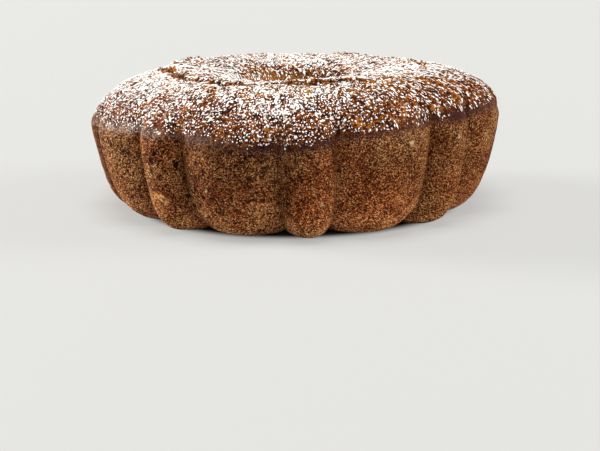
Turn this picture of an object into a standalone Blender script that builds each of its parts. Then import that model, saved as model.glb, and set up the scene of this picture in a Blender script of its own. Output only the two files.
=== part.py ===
"""Fluted ring cake: an uncut quick bread from a fluted tube pan, stood the way it baked.

The pan gave the foot, the scalloped wall and the tube hole. The oven gave the domed top.
The cake is one closed ring: a cross-section of stations carried round the hole, with the
outer stations pressed in at the creases between the flutes.

Metres, +Z up. The origin is the middle of the ring, on the plane it rests on.
Angles run round the hole from -Y towards +X.
"""

import bpy
import numpy as np
from math import pi, radians, tau

# Section, from the foot up over the dome and down the hole
OUTER_RADIUS = 0.122
SHOULDER_HEIGHT = 0.0554
CREST_RADIUS = 0.0724
CREST_HEIGHT = 0.0824
NECK_RADIUS = 0.0311
NECK_HEIGHT = 0.0657
FOOT_OUTER_RADIUS = 0.0854
FOOT_INNER_RADIUS = 0.0540
TUBE_FOOT_RADIUS = 0.0380
TUBE_FOOT_ROUNDING = 0.0140

# Superellipse exponents of the section's three curves
WALL_HEIGHT_POWER = 1.56
WALL_REACH_POWER = 3.12
DOME_REACH_POWER = 1.82
DOME_HEIGHT_POWER = 1.55
LIP_POWER = 2.6

# Flutes: broad and slim ones by turns, meeting in sharp creases
FLUTE_PAIRS = 8
BROAD_FLUTE = radians(29.3)
SLIM_FLUTE = tau / FLUTE_PAIRS - BROAD_FLUTE
FIRST_CREASE = radians(-33.8)
CREASE_DEPTH = 0.076           # share of the radius lost at a crease
CREASE_SHARPNESS = 2.2         # power of the way across a flute
CREASE_FADE = 0.32             # share of the dome's width over which the creases run out
ARCH_HEIGHT = 0.0020           # how far the creases lift off the plate at the foot
ARCH_END = 0.25                # share of the wall's height where that lift has run out

# How unevenly the batter rose
SHOULDER_LEAN = 0.0211         # slope of the shoulder, up towards +X
CREST_WAVES = (                # (waves round the ring, height, angle of the first peak)
    (1, 0.00143, radians(-81)),
    (2, 0.00101, radians(36)),
    (3, 0.00028, radians(34)),
)

# Steps of the mesh
BROAD_STEPS = 10
SLIM_STEPS = 6
WALL_STEPS = 11
DOME_STEPS = 9
LIP_STEPS = 7
TUBE_STEPS = 2
ROUNDING_STEPS = 3

CRUST_COLOUR = (0.130, 0.045, 0.016, 1.0)
CRUST_ROUGHNESS = 0.8


def clear_scene():
    for item in list(bpy.data.objects):
        bpy.data.objects.remove(item, do_unlink=True)


def crust_material():
    material = bpy.data.materials.new("baked_crust")
    material.use_nodes = True
    shader = material.node_tree.nodes["Principled BSDF"]
    shader.inputs["Base Color"].default_value = CRUST_COLOUR
    shader.inputs["Roughness"].default_value = CRUST_ROUGHNESS
    shader.inputs["Metallic"].default_value = 0.0
    return material


def flute_angles():
    """Angles round the ring, and how near each is to a crease: 0 on a crown, 1 in a crease."""
    angles = []
    nearness = []
    start = FIRST_CREASE
    for _ in range(FLUTE_PAIRS):
        for width, steps in ((BROAD_FLUTE, BROAD_STEPS), (SLIM_FLUTE, SLIM_STEPS)):
            way = np.arange(steps) / steps
            angles.append(start + width * way)
            nearness.append(np.abs(2 * way - 1) ** CREASE_SHARPNESS)
            start += width
    return np.concatenate(angles), np.concatenate(nearness)


def stretch(radius, height, crease=0.0, arch=0.0, lean=0.0, wave=0.0):
    """Stations of one stretch of the section, one row each, with the weight of each effect."""
    columns = np.broadcast_arrays(radius, height, crease, arch, lean, wave)
    return np.stack(columns, axis=-1)


def foot():
    """The flat ring the cake rests on."""
    return stretch(np.array([FOOT_INNER_RADIUS]), 0.0)


def wall():
    """From the foot's outer edge, round under the flutes and up to the shoulder."""
    step = np.arange(WALL_STEPS + 1) / WALL_STEPS
    rise = step ** 2
    reach = (1 - (1 - rise) ** WALL_HEIGHT_POWER) ** (1 / WALL_REACH_POWER)
    radius = FOOT_OUTER_RADIUS + (OUTER_RADIUS - FOOT_OUTER_RADIUS) * reach
    arch = np.sin(pi * np.minimum(rise / ARCH_END, 1.0) ** 0.5)
    return stretch(radius, SHOULDER_HEIGHT * rise, crease=1.0, arch=arch, lean=rise)


def dome():
    """From the shoulder up to the crest."""
    way = (np.arange(1, DOME_STEPS + 1) / DOME_STEPS) ** 2
    radius = OUTER_RADIUS + (CREST_RADIUS - OUTER_RADIUS) * way
    lift = (1 - (1 - way) ** DOME_REACH_POWER) ** (1 / DOME_HEIGHT_POWER)
    height = SHOULDER_HEIGHT + (CREST_HEIGHT - SHOULDER_HEIGHT) * lift
    crease = np.clip(1 - way / CREASE_FADE, 0, 1) ** 1.5
    return stretch(radius, height, crease=crease, lean=1.0, wave=way)


def lip():
    """From the crest over the rounded lip and down to the neck of the hole."""
    turn = np.arange(1, LIP_STEPS + 1) / LIP_STEPS * pi / 2
    radius = CREST_RADIUS - (CREST_RADIUS - NECK_RADIUS) * np.sin(turn) ** (2 / LIP_POWER)
    fall = np.maximum(np.cos(turn), 0) ** (2 / LIP_POWER)
    height = NECK_HEIGHT + (CREST_HEIGHT - NECK_HEIGHT) * fall
    return stretch(radius, height, lean=1.0, wave=1.0)


def tube():
    """Down the tapered hole that the pan's tube left, and round into the foot."""
    down = np.arange(1, TUBE_STEPS + 1) / TUBE_STEPS
    radius = NECK_RADIUS + (TUBE_FOOT_RADIUS - NECK_RADIUS) * down
    height = NECK_HEIGHT + (TUBE_FOOT_ROUNDING - NECK_HEIGHT) * down
    turn = np.arange(1, ROUNDING_STEPS) / ROUNDING_STEPS * pi / 2
    round_radius = FOOT_INNER_RADIUS - (FOOT_INNER_RADIUS - TUBE_FOOT_RADIUS) * np.cos(turn)
    round_height = TUBE_FOOT_ROUNDING * (1 - np.sin(turn))
    return np.concatenate([
        stretch(radius, height, lean=1 - down, wave=1 - down),
        stretch(round_radius, round_height),
    ])


def crest_unevenness(angles):
    total = np.zeros_like(angles)
    for count, height, peak in CREST_WAVES:
        total += height * np.cos(count * (angles - peak))
    return total


def ring_points():
    """Point (station, angle): the section's station, pressed in at creases and made uneven."""
    angles, nearness = flute_angles()
    section = np.concatenate([foot(), wall(), dome(), lip(), tube()])
    radius, height, crease, arch, lean, wave = section.T[:, :, None]
    across = radius * (1 - CREASE_DEPTH * crease * nearness)
    up = height + ARCH_HEIGHT * arch * nearness
    up = up + SHOULDER_LEAN * lean * across * np.sin(angles)
    up = up + wave * crest_unevenness(angles)
    return np.stack([across * np.sin(angles), -across * np.cos(angles), up], axis=-1)


def ring_faces(stations, sectors):
    """Quads between neighbouring stations and angles, closed both ways, facing outwards."""
    station, sector = np.meshgrid(np.arange(stations), np.arange(sectors), indexing="ij")
    next_station = (station + 1) % stations
    next_sector = (sector + 1) % sectors
    corners = (
        station * sectors + sector,
        station * sectors + next_sector,
        next_station * sectors + next_sector,
        next_station * sectors + sector,
    )
    return np.stack(corners, axis=-1).reshape(-1, 4)


def fluted_ring_cake(collection):
    points = ring_points()
    faces = ring_faces(*points.shape[:2])
    mesh = bpy.data.meshes.new("fluted_ring_cake")
    mesh.from_pydata(points.reshape(-1, 3).tolist(), [], faces.tolist())
    mesh.materials.append(crust_material())
    mesh.shade_smooth()
    cake = bpy.data.objects.new("fluted_ring_cake", mesh)
    collection.objects.link(cake)
    return cake


def main():
    clear_scene()
    collection = bpy.data.collections.new("ring_quick_bread")
    bpy.context.scene.collection.children.link(collection)
    fluted_ring_cake(collection)


main()
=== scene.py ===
from math import pi, radians, tau

import bpy
import numpy as np
from mathutils import Matrix, Vector


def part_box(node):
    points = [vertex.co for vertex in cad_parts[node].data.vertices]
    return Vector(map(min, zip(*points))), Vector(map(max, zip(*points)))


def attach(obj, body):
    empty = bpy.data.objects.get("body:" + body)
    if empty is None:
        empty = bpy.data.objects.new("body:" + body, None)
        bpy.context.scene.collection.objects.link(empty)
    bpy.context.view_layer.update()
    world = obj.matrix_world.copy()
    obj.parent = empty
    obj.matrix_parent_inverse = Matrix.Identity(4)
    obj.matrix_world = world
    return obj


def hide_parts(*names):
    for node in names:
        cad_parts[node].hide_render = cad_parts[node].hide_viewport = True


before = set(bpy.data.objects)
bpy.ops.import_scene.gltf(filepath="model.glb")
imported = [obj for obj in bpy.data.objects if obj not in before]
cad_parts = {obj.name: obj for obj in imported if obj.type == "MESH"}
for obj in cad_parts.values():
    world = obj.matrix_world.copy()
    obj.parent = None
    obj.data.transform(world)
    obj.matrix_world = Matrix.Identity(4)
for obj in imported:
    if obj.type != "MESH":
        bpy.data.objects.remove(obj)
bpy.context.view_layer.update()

# A fluted ring quick bread: crumbly wall, browned dome, and icing sugar sifted over it.
# Metres, +Z up. Angles run round the hole from -Y towards +X, as in the frame.
# The last number in a call that makes noise on arrays is its seed.

cakeNode = "fluted_ring_cake"
boxLow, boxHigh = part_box(cakeNode)
middle = np.array([(boxLow.x + boxHigh.x) / 2, (boxLow.y + boxHigh.y) / 2, boxLow.z])


def cellRandom(cell, seed):
    # hash of whole-number cell (i, j, k) and seed, mixed by shifts and products, as a share of 2^24
    whole = cell.astype(np.int64).astype(np.uint64)
    n = whole[..., 0] * np.uint64(73856093)
    n = n ^ (whole[..., 1] * np.uint64(19349663))
    n = n ^ (whole[..., 2] * np.uint64(83492791))
    n = n ^ np.uint64(seed * 2654435761 + 97)
    n = (n ^ (n >> np.uint64(13))) * np.uint64(1274126177)
    n = (n ^ (n >> np.uint64(15))) * np.uint64(2246822519)
    n = n ^ (n >> np.uint64(16))
    return (n & np.uint64(0xFFFFFF)).astype(float) / 0x1000000


def softNoise(points, size, seed):
    # gradient noise in cells `size` wide, about -1..1:
    # the sum over a cell's 8 corners of ease(offset) * (random direction . offset)
    scaled = points / size
    cell = np.floor(scaled)
    part = scaled - cell
    ease = part * part * part * (part * (part * 6 - 15) + 10)
    total = np.zeros(points.shape[:-1])
    for corner in range(8):
        step = np.array([corner & 1, corner >> 1 & 1, corner >> 2 & 1])
        at = cell + step
        turn = cellRandom(at, seed) * tau
        tilt = cellRandom(at, seed + 1) * 2 - 1
        flat = np.sqrt(1 - tilt * tilt)
        away = part - step
        slope = away[..., 0] * np.cos(turn) * flat + away[..., 1] * np.sin(turn) * flat
        slope = slope + away[..., 2] * tilt
        total += slope * np.prod(np.where(step, ease, 1 - ease), axis=-1)
    return total * 1.6  # brings it to about -1..1


def layeredNoise(points, size, layers, seed):
    # sum of softNoise at size, size/2, size/4 ..., each half as strong
    total = 0.0
    for layer in range(layers):
        total = total + softNoise(points, size / 2 ** layer, seed + 10 * layer) / 2 ** layer
    return total


def uneven(points, sizeAndStrength, layers, seed):
    # layeredNoise times its strength
    size, strength = sizeAndStrength
    return strength * layeredNoise(points, size, layers, seed)


def nearestSeed(points, size, seed):
    # distance to the nearest of one random point per cell, in cell widths, and that cell's random number
    scaled = points / size
    cell = np.floor(scaled)
    best = np.full(points.shape[:-1], np.inf)
    mark = np.zeros(points.shape[:-1])
    for neighbour in range(27):
        step = np.array([neighbour % 3 - 1, neighbour // 3 % 3 - 1, neighbour // 9 - 1])
        at = cell + step
        seat = np.stack([cellRandom(at, seed + k) for k in range(3)], axis=-1)
        gap = np.linalg.norm(at + seat - scaled, axis=-1)
        closer = gap < best
        best = np.where(closer, gap, best)
        mark = np.where(closer, cellRandom(at, seed + 5), mark)
    return best, mark


def smoothStep(low, high, value):
    # 3t^2 - 2t^3 of the way t from low to high
    way = np.clip((value - low) / (high - low), 0, 1)
    return way * way * (3 - 2 * way)


def angleBump(angles, peak, width):
    # exp(-(d / width)^2) of the wrapped distance d from the peak, both in degrees
    away = (np.degrees(angles) - peak + 180) % 360 - 180
    return np.exp(-(away / width) ** 2)


def bumpSum(angles, places, start=0.0):
    # start plus the sum of amount * exp(-(d / width)^2) over places of (peak, width, amount)
    total = start + 0 * angles
    for peak, width, amount in places:
        total = total + amount * angleBump(angles, peak, width)
    return total


# the ring's form: the frame's solid, with higher arches at the foot and a finer unevenness
form = {
    "outerRadius": 0.122, "shoulderHeight": 0.0554,
    "crestRadius": 0.0724, "crestHeight": 0.0824,
    "neckRadius": 0.0311, "neckHeight": 0.0657,
    "footOuter": 0.0854, "footInner": 0.0540,
    "tubeFoot": 0.0380, "tubeRounding": 0.0140,
    "wallPowers": (1.56, 3.12), "domePowers": (1.82, 1.55), "lipPower": 2.6,
    "pairs": 8, "broadFlute": radians(29.3), "firstCrease": radians(-33.8),
    "creaseDepth": 0.076, "creaseSharpness": 2.2, "creaseFade": 0.32,
    "grooveDepth": 0.0006, "grooveSharpness": 12,   # thin line at the bottom of each crease
    "archHeight": 0.0042, "archEnd": 0.25,          # creases lift off the plate at the foot
    "slimFoot": 0.0036, "slimFootFade": 0.018,      # slim flutes stand out lower down
    "lean": 0.0211,
    "crestWaves": ((1, 0.00143, radians(-81)), (2, 0.00101, radians(36)), (3, 0.00028, radians(34))),
    # uneven places: (angle in degrees, half width in degrees, metres)
    "bulges": ((74, 26, 0.0011), (-80, 24, 0.0012)), "bulgeHeight": 0.014,
    "dips": ((6, 42, 0.0008), (174, 46, 0.0014)),
    "fullness": ((92, 30, 0.0022), (-92, 30, 0.0017)), "fullnessPeak": 0.16,
    # creases out of their regular place: (angle, half width, turn), all in degrees
    "creaseTurns": ((-78.8, 7, 3.6),),
}

# steps of the fine mesh along each stretch of the section, and across each flute
fine = {"foot": 5, "wall": 52, "dome": 46, "lip": 30, "tube": 12, "rounding": 5, "broad": 52, "slim": 28}


def sectionCurve(stretchName, way):
    # radius, height, then the weights of crease, arch, lean and wave, at way 0..1 along one stretch
    f = form
    zero = np.zeros_like(way)
    one = zero + 1
    if stretchName == "foot":
        radius = f["footInner"] + (f["footOuter"] - f["footInner"]) * way
        return np.stack([radius, zero, way ** 3, zero, zero, zero])
    if stretchName == "wall":
        rise = way ** 2
        powerUp, powerOut = f["wallPowers"]
        reach = (1 - (1 - rise) ** powerUp) ** (1 / powerOut)
        radius = f["footOuter"] + (f["outerRadius"] - f["footOuter"]) * reach
        arch = np.sin(pi * np.minimum(rise / f["archEnd"], 1) ** 0.5)
        return np.stack([radius, f["shoulderHeight"] * rise, one, arch, rise, zero])
    if stretchName == "dome":
        along = way ** 2
        powerIn, powerUp = f["domePowers"]
        lift = (1 - (1 - along) ** powerIn) ** (1 / powerUp)
        radius = f["outerRadius"] + (f["crestRadius"] - f["outerRadius"]) * along
        height = f["shoulderHeight"] + (f["crestHeight"] - f["shoulderHeight"]) * lift
        crease = np.clip(1 - along / f["creaseFade"], 0, 1) ** 1.5
        return np.stack([radius, height, crease, zero, one, along])
    if stretchName == "lip":
        turn = way * pi / 2
        power = 2 / f["lipPower"]
        radius = f["crestRadius"] - (f["crestRadius"] - f["neckRadius"]) * np.sin(turn) ** power
        fall = np.maximum(np.cos(turn), 0) ** power
        height = f["neckHeight"] + (f["crestHeight"] - f["neckHeight"]) * fall
        return np.stack([radius, height, zero, zero, one, one])
    if stretchName == "tube":
        radius = f["neckRadius"] + (f["tubeFoot"] - f["neckRadius"]) * way
        height = f["neckHeight"] + (f["tubeRounding"] - f["neckHeight"]) * way
        return np.stack([radius, height, zero, zero, 1 - way, 1 - way])
    turn = way * pi / 2
    radius = f["footInner"] - (f["footInner"] - f["tubeFoot"]) * np.cos(turn)
    return np.stack([radius, f["tubeRounding"] * (1 - np.sin(turn)), zero, zero, zero, zero])


def evenStations(stretchName, steps, crowding=None):
    # the stretch resampled at even steps of its arc length, closer together where crowding(share of
    # the arc) is high, with the arc length at each station and of the whole stretch
    way = np.linspace(0, 1, 1500)
    curve = sectionCurve(stretchName, way)
    length = np.hypot(np.diff(curve[0]), np.diff(curve[1]))
    arc = np.concatenate([[0], np.cumsum(length)])
    weight = np.ones_like(arc) if crowding is None else crowding(arc / arc[-1])
    load = np.concatenate([[0], np.cumsum(length * (weight[1:] + weight[:-1]) / 2)])
    wanted = np.arange(steps) / steps * load[-1]
    stations = np.stack([np.interp(wanted, load, row) for row in curve])
    return stations, np.interp(wanted, load, arc), arc[-1]


def fineSection():
    # every stretch in turn, with its stations' running arc length from the foot's inner edge
    crowd = {
        "dome": lambda share: 1 + 1.3 * smoothStep(0.62, 0.8, share),
        "lip": lambda share: 1 + 1.0 * (1 - smoothStep(0.1, 0.4, share)),
    }
    rows, arcs, marks = [], [], {}
    start = 0.0
    for name in ("foot", "wall", "dome", "lip", "tube", "rounding"):
        stations, arc, length = evenStations(name, fine[name], crowd.get(name))
        rows.append(stations)
        arcs.append(arc + start)
        marks[name] = (start, start + length)
        start += length
    return np.concatenate(rows, axis=1), np.concatenate(arcs), marks


def fluteAngles():
    # evenly spaced angles inside each flute, |2w - 1|^sharpness at the way w across it, and 1 in slim
    # flutes; round a turned crease the angles move by turn * exp(-(d / width)^2)
    f = form
    slimFlute = tau / f["pairs"] - f["broadFlute"]
    angles, nearness, slim = [], [], []
    start = f["firstCrease"]
    for _ in range(f["pairs"]):
        for width, steps in ((f["broadFlute"], fine["broad"]), (slimFlute, fine["slim"])):
            way = np.arange(steps) / steps
            angles.append(start + width * way)
            nearness.append(np.abs(2 * way - 1) ** f["creaseSharpness"])
            slim.append(np.full(steps, float(steps == fine["slim"])))
            start += width
    angles = np.concatenate(angles)
    for place, width, turn in f["creaseTurns"]:
        angles = angles + radians(turn) * angleBump(angles, place, width)
    return angles, np.concatenate(nearness), np.concatenate(slim)


def gridNormals(points):
    # unit cross product of the two central differences of a grid that closes both ways
    along = np.roll(points, -1, axis=0) - np.roll(points, 1, axis=0)
    around = np.roll(points, -1, axis=1) - np.roll(points, 1, axis=1)
    normal = np.cross(around, along)
    return normal / np.maximum(np.linalg.norm(normal, axis=-1, keepdims=True), 1e-12)


def ringGrid(stations, angles, nearness, slim):
    # (r sin a, -r cos a, h): r = radius (1 - depth crease nearness) - groove + slim foot + bulge,
    # h = height + arch + lean r sin a + waves - dips + fullness w exp(1 - w), with w the way up the
    # dome over the way to the fullest place
    f = form
    radius, height, crease, arch, lean, wave = stations[:, :, None]
    across = radius * (1 - f["creaseDepth"] * crease * nearness)
    across = across - f["grooveDepth"] * crease * nearness ** f["grooveSharpness"]
    slimFoot = f["slimFoot"] * slim * (1 - nearness) * crease
    across = across + slimFoot * np.exp(-(height / f["slimFootFade"]) ** 2)
    shoulder = np.exp(-(((height - f["shoulderHeight"]) / f["bulgeHeight"]) ** 2))
    across = across + shoulder * (radius > f["crestRadius"]) * bumpSum(angles, f["bulges"])
    up = height + f["archHeight"] * arch * nearness + f["lean"] * lean * across * np.sin(angles)
    for count, size, peak in f["crestWaves"]:
        up = up + wave * size * np.cos(count * (angles - peak))
    up = up - wave * bumpSum(angles, f["dips"])
    full = wave / f["fullnessPeak"]
    up = up + bumpSum(angles, f["fullness"]) * full * np.exp(1 - full)
    return np.stack([across * np.sin(angles), -across * np.cos(angles), up], axis=-1) + middle


relief = {
    # noise as (size, height) in metres
    "domeSwell": (0.034, 0.0009), "domeLumps": (0.011, 0.00065), "domeBumps": (0.0046, 0.00042),
    "wallSwell": (0.028, 0.00045), "wallBumps": (0.0050, 0.00020), "edgeNoise": (0.006, 0.0010),
    # pits in the wall: one cell in five holds one, as wide as a share of its cell
    "pitSize": 0.0058, "pitDepth": 0.0010, "pitShare": 0.20, "pitReach": 0.30,
    # metres of arc over which the dome, the tube and the wall begin, and the tube's share of the relief
    "domeStart": (-0.0030, 0.0004), "tubeStart": (-0.012, -0.002), "wallStart": 0.008, "inTube": 0.7,
}

# ring crack in the dome, in metres
crack = {
    "radius": 0.0760, "width": 0.0012, "depth": 0.0036,
    "stepHeight": 0.0019, "stepReach": 0.012,
    "stepFall": (0.0006, 0.35),                 # metres, and share of the torn crumb's half width
    "tornLeast": 0.0015, "tornUsual": 0.0026,   # half widths
    "tornShift": 0.3,                           # share of the half width, outwards
    # darkness: how strongly the painted shade in the crack's groove shows
    "noiseCircle": 0.08, "openLeast": 0.85, "darkness": 1.3,
    # noise as (size, strength)
    "lineNoise": (0.020, 0.0018), "openNoise": (0.010, 0.5), "edgeNoise": (0.004, 0.0009),
    "tornNoise": (0.0030, 0.0016),
    # (angle in degrees, half width in degrees, how open, half width of torn crumb)
    "runs": ((-82, 15, 0.9, 0.0040), (-65, 8, 1.0, 0.0040), (-52, 8, 0.95, 0.0030), (-38, 8, 0.9, 0.0024),
             (-26, 6, 0.8, 0.0022), (-12, 5, 0.3, 0.0010), (8, 13, 1.25, 0.0032), (27, 4, 0.4, 0.0014),
             (39, 4, 0.5, 0.0016), (67, 3, 0.6, 0.0022), (104, 16, 0.8, 0.0030), (150, 20, 0.9, 0.0036),
             (205, 14, 0.6, 0.0024), (244, 18, 0.9, 0.0040)),
    # how far the line leaves its circle: (angle in degrees, half width in degrees, metres outwards)
    "wander": ((-98, 12, 0.006), (-70, 14, -0.0030), (-46, 6, -0.0046), (-40, 9, 0.001), (-27, 5, -0.0034),
               (-12, 8, -0.0030), (-4, 6.5, -0.0082), (16, 7, -0.0012), (37, 13, 0.0045), (150, 30, 0.004),
               (215, 25, -0.003)),
}

# fruit and nuts under the dome's crust: (angle in degrees, metres up from the shoulder, half size, height)
bigLumps = (
    (34.0, 0.0090, 0.0034, 0.0011), (42.0, 0.0145, 0.0034, 0.0011), (20.0, 0.0350, 0.0030, 0.0007),
    (23.5, 0.0280, 0.0030, 0.0007), (-40.0, 0.0180, 0.0026, 0.0008), (-12.0, 0.0230, 0.0030, 0.0006),
    (55.0, 0.0200, 0.0032, 0.0008), (-70.0, 0.0150, 0.0030, 0.0008),
)
smallLumps = {"count": 70, "up": (0.008, 0.070), "half": (0.0018, 0.0036), "height": (0.0003, 0.0009)}

# moist fruit and pale crumbs showing in the wall, and painted glints on the fruit: (angle in degrees, metres
# up from the shoulder, half size)
fruitSpots = ((-41.8, -0.0318, 0.0021), (-40.0, -0.0334, 0.0024), (-38.8, -0.0362, 0.0013))
paleBitsAndGlints = (
    (12.3, 0.0030, 0.0014), (2.8, -0.0015, 0.0014), (6.7, -0.0330, 0.0011), (-24.8, -0.0262, 0.0010),
    # the first two here are painted glints on the moist fruit, the rest pale crumbs
    (-42.5, -0.0328, 0.0010), (-41.2, -0.0336, 0.0011), (31.0, -0.0030, 0.0016), (47.0, -0.0050, 0.0013),
    (165.0, -0.0200, 0.0012), (120.0, -0.0120, 0.0014), (205.0, -0.0340, 0.0013), (240.0, -0.0150, 0.0012),
)

# their uneven rims: noise as (size, strength), and shares of the half size between which they fade out
spotRim = {"noise": (0.0022, 0.5), "fade": (1.25, 0.6)}

sugarFall = {
    "edge": 0.0036,                          # metres above the shoulder where the sugar starts
    "edgeShifts": ((-5, 14, -0.0052), (45, 22, 0.0022), (-45, 14, 0.0016), (70, 9, 0.0030)),
    # share covered at each climb in metres past the edge, and on the leaner right side
    "climb": (0, 0.0015, 0.006, 0.014, 0.026, 0.040, 0.056, 0.070, 0.085, 0.105, 0.118, 0.135),
    "cover": (0, 0.17, 0.25, 0.28, 0.38, 0.50, 0.46, 0.38, 0.37, 0.38, 0.33, 0.07),
    "coverRight": (0, 0.07, 0.105, 0.120, 0.170, 0.250, 0.36, 0.38, 0.34, 0.31, 0.27, 0.05),
    "rightSide": (66, 48), "most": 0.93,
    # (angle, half width in degrees, metres past the edge, half height, share multiplied, share added)
    "patches": ((-5, 14, 0.015, 0.010, 0, 0.16), (-4, 7.5, 0.0255, 0.0065, 0, 0.50),
                (-3.5, 3, 0.0105, 0.0035, -0.75, 0), (-29, 7, 0.0290, 0.0022, -0.65, 0),
                (0, 20, 0.042, 0.012, 0, 0.12), (184, 44, 0.073, 0.013, 0, 0.42),
                (0, 55, 0.078, 0.010, -0.20, 0)),
    # (angle, half width, metres past the edge where it begins and where it is full, share multiplied)
    "slopes": ((180, 60, 0.086, 0.098, -0.50), (132, 26, 0.050, 0.075, -0.22)),
    # whole sides, in groups whose changes add up: (angle, half width, share multiplied)
    "sides": (((80, 40, 0.13), (-110, 40, 0.05)), ((-74, 28, 0.42), (-34, 16, -0.10)),
              ((160, 45, 0.20), (225, 25, -0.20))),
}


def sugarEdge(angles):
    # metres above the shoulder where the sugar starts, at each angle
    return bumpSum(angles, sugarFall["edgeShifts"], sugarFall["edge"])


def sugarCover(arc, angles):
    # share of the crust that the sugar covers: a climb from the edge, then
    # cover (1 + change) + more at each patch, and cover (1 + change) on each slope and side
    s = sugarFall
    up = arc - marks["dome"][0] - sugarEdge(angles)
    right = angleBump(angles, *s["rightSide"])
    cover = np.interp(up, s["climb"], s["cover"]) * (1 - right)
    cover = cover + np.interp(up, s["climb"], s["coverRight"]) * right
    for peak, width, height, reach, change, more in s["patches"]:
        around = angleBump(angles, peak, width)
        along = np.exp(-((up - height) / reach) ** 2)
        cover = cover * (1 + change * around * along) + more * around * along
    for peak, width, low, high, change in s["slopes"]:
        cover = cover * (1 + change * angleBump(angles, peak, width) * smoothStep(low, high, up))
    for places in s["sides"]:
        cover = cover * bumpSum(angles, places, 1.0)
    return np.clip(cover, 0, s["most"])


def stretchMasks(points, arc):
    # how much of the point is dome, wall and tube, from its running length along the section
    up = arc - marks["dome"][0] - sugarEdge(angles) + uneven(points, relief["edgeNoise"], 2, 25)
    rise = smoothStep(*relief["domeStart"], up)
    fall = smoothStep(*relief["tubeStart"], arc - marks["tube"][0])
    dome = rise * (1 - fall)
    tube = fall * (1 - smoothStep(*marks["rounding"], arc))
    wall = smoothStep(0, relief["wallStart"], arc - marks["wall"][0]) * (1 - rise)
    return dome, wall, tube


def crackField(points, arc, angles):
    # how open the crack is, the half width of its torn crumb, and the radius past its wandering line
    opening = np.zeros_like(angles)
    tornWidth = np.full_like(angles, crack["tornLeast"])
    for peak, width, strength, torn in crack["runs"]:
        here = angleBump(angles, peak, width)
        opening = np.maximum(opening, strength * here)
        tornWidth = np.maximum(tornWidth, torn * here)
    circle = np.stack([np.sin(angles), -np.cos(angles), 0 * angles], axis=-1) * crack["noiseCircle"]
    line = bumpSum(angles, crack["wander"], crack["radius"] + uneven(circle, crack["lineNoise"], 3, 81))
    opening = opening * (crack["openLeast"] + uneven(circle, crack["openNoise"], 2, 85))
    opening = np.clip(opening, 0, 1) * (arc < marks["tube"][0])
    radius = np.hypot(points[..., 0] - middle[0], points[..., 1] - middle[1])
    return opening, tornWidth, radius - line + uneven(points, crack["edgeNoise"], 2, 91)


def crackRelief(points, arc, onDome):
    # height, the groove's painted shade exp(-(d / width)^2) and torn crumb exp(-((d - shift) / torn
    # width)^2), with d the distance past the crack's line; the crust inside the line stands a step higher and
    # sinks back
    opening, tornWidth, offset = crackField(points, arc, np.broadcast_to(angles, arc.shape))
    opening = opening * onDome
    groove = np.exp(-(offset / (crack["width"] * (0.5 + opening))) ** 2) * opening
    fall = crack["stepFall"][0] + crack["stepFall"][1] * tornWidth
    step = opening * smoothStep(fall, -fall, offset) * np.exp(-np.clip(-offset, 0, None) / crack["stepReach"])
    torn = opening * np.exp(-((offset - crack["tornShift"] * tornWidth) / tornWidth) ** 2)
    height = torn * uneven(points, crack["tornNoise"], 2, 95) - crack["depth"] * groove
    height = height + crack["stepHeight"] * step * (0.5 + tornWidth / crack["tornUsual"])
    return height, np.clip(groove * crack["darkness"], 0, 1), torn


def gridPointAt(points, turn, up):
    # the grid's point nearest to an angle in degrees and a length up from the shoulder
    station = np.argmin(np.abs(arcs - marks["dome"][0] - up))
    sector = np.argmin(np.abs((angles - radians(turn) + pi) % tau - pi))
    return points[station, sector]


def spotField(points, spots, seed):
    # strongest of 1 - smooth(d / half size) over the spots, with distances d made uneven by noise
    share = np.zeros(points.shape[:-1])
    ragged = 1 + uneven(points, spotRim["noise"], 1, seed)
    outer, inner = spotRim["fade"]
    for turn, up, half in spots:
        away = np.linalg.norm(points - gridPointAt(points, turn, up), axis=-1) * ragged
        share = np.maximum(share, smoothStep(half * outer, half * inner, away))
    return share


def lumpField(points):
    # sum of height * exp(-(d / half size)^2) over the lumps, and the strongest of their shares
    total = np.zeros(points.shape[:-1])
    share = np.zeros(points.shape[:-1])
    lumps = list(bigLumps)
    for _ in range(smallLumps["count"]):
        lumps.append((dice.uniform(-180, 180), dice.uniform(*smallLumps["up"]),
                      dice.uniform(*smallLumps["half"]), dice.uniform(*smallLumps["height"])))
    for turn, up, half, height in lumps:
        near = np.exp(-(np.linalg.norm(points - gridPointAt(points, turn, up), axis=-1) / half) ** 2)
        total += height * near
        share = np.maximum(share, near * min(height / smallLumps["height"][1], 1))
    return total, share


def crustRelief(points, arc):
    # height of the relief along the normal, and the masks that the crust's colours use
    r = relief
    onDome, onWall, inTube = stretchMasks(points, arc)
    lumpHeight, lumpShare = lumpField(points)
    crackHeight, crackGrooveShade, torn = crackRelief(points, arc, onDome)
    dome = uneven(points, r["domeSwell"], 1, 21) + uneven(points, r["domeLumps"], 2, 31)
    dome = dome + uneven(points, r["domeBumps"], 2, 41)
    wall = uneven(points, r["wallSwell"], 1, 51) + uneven(points, r["wallBumps"], 2, 61)
    gap, mark = nearestSeed(points, r["pitSize"], 71)
    pits = (mark < r["pitShare"]) * np.clip(1 - gap / r["pitReach"], 0, 1) * (0.5 + mark / r["pitShare"])
    pits = np.clip(pits, 0, 1)
    wall = wall - r["pitDepth"] * np.sqrt(pits)
    height = (dome + lumpHeight + crackHeight) * onDome + wall * (onWall + r["inTube"] * inTube)
    # the crack's mask is the painted shade in its groove
    return height, {"onDome": onDome, "inTube": inTube, "crack": crackGrooveShade, "torn": torn,
                    "lump": lumpShare * onDome, "pit": pits * (onWall + inTube)}


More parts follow.
